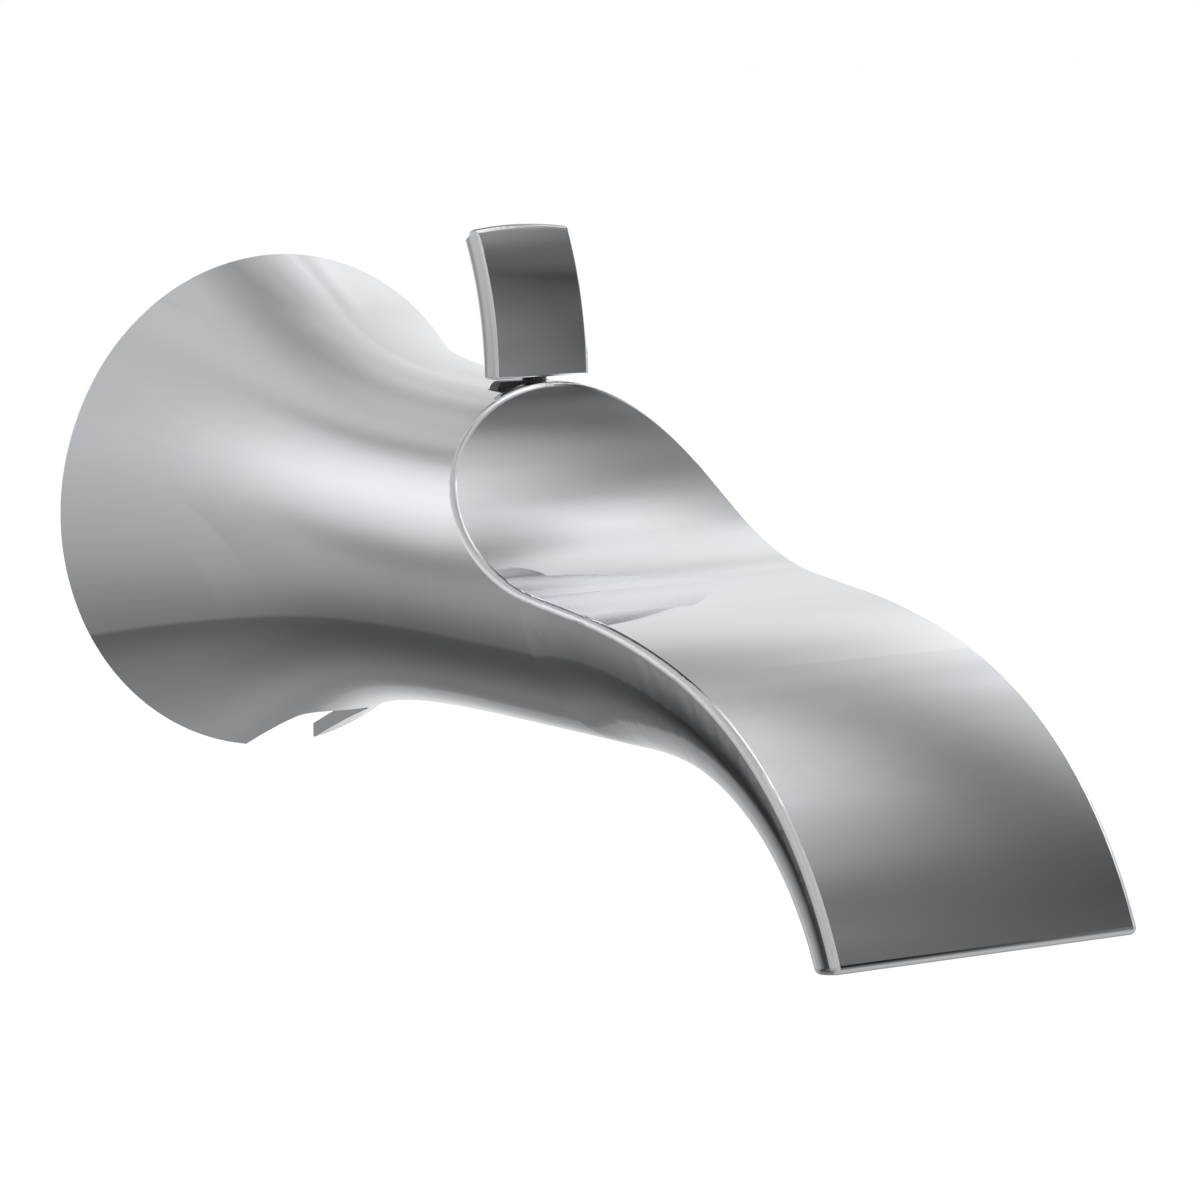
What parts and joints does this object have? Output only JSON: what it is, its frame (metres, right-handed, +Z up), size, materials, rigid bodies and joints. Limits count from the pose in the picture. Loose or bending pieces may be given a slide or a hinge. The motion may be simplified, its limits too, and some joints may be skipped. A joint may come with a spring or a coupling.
{
  "type": "bath spout",
  "caption": "Chrome wall-mounted bath spout with a flared base, a scooped S-shaped face and a curled lift tab for the shower diverter.",
  "frame": {"origin": "centre of the wall rim, at the mouth of the pipe bore, in the plane of the wall", "axes": "+Y into the wall along the pipe bore, +Z up, so the spout reaches out along -Y; +X is to the right of someone facing the wall"},
  "size_m": [0.0804, 0.1899, 0.0959],
  "materials": {
    "chrome": "polished",
    "brass": "machined",
    "steel": "satin",
    "moulded_plastic": "moulded",
    "grey_plastic": "moulded",
    "black_plastic": "gloss",
    "seal_rubber": "matt"
  },
  "bodies": {
    "body": {"spout_body": "chrome", "stem_bush": "brass", "inlet_hub": "brass", "diverter_housing": "moulded_plastic", "stream_insert": "grey_plastic", "housing_o_ring": "seal_rubber", "hub_o_ring": "seal_rubber", "pipe_seal_rear": "seal_rubber", "pipe_seal_front": "seal_rubber", "stem_o_ring": "seal_rubber", "bush_o_ring": "seal_rubber", "retaining_ring": "steel", "hub_screws": "steel", "clamp_screw": "steel"},
    "diverter": {"diverter_tab": "chrome", "tab_foot": "black_plastic", "tab_pin": "steel", "diverter_stem": "brass", "gate": "brass", "gate_seal": "seal_rubber", "stem_clip": "steel"}
  },
  "joints": [
    {"name": "diverter_lift", "type": "slide", "parent": "body", "child": "diverter", "axis": [0, 0, 1], "range_m": [0, 0.011]}
  ]
}
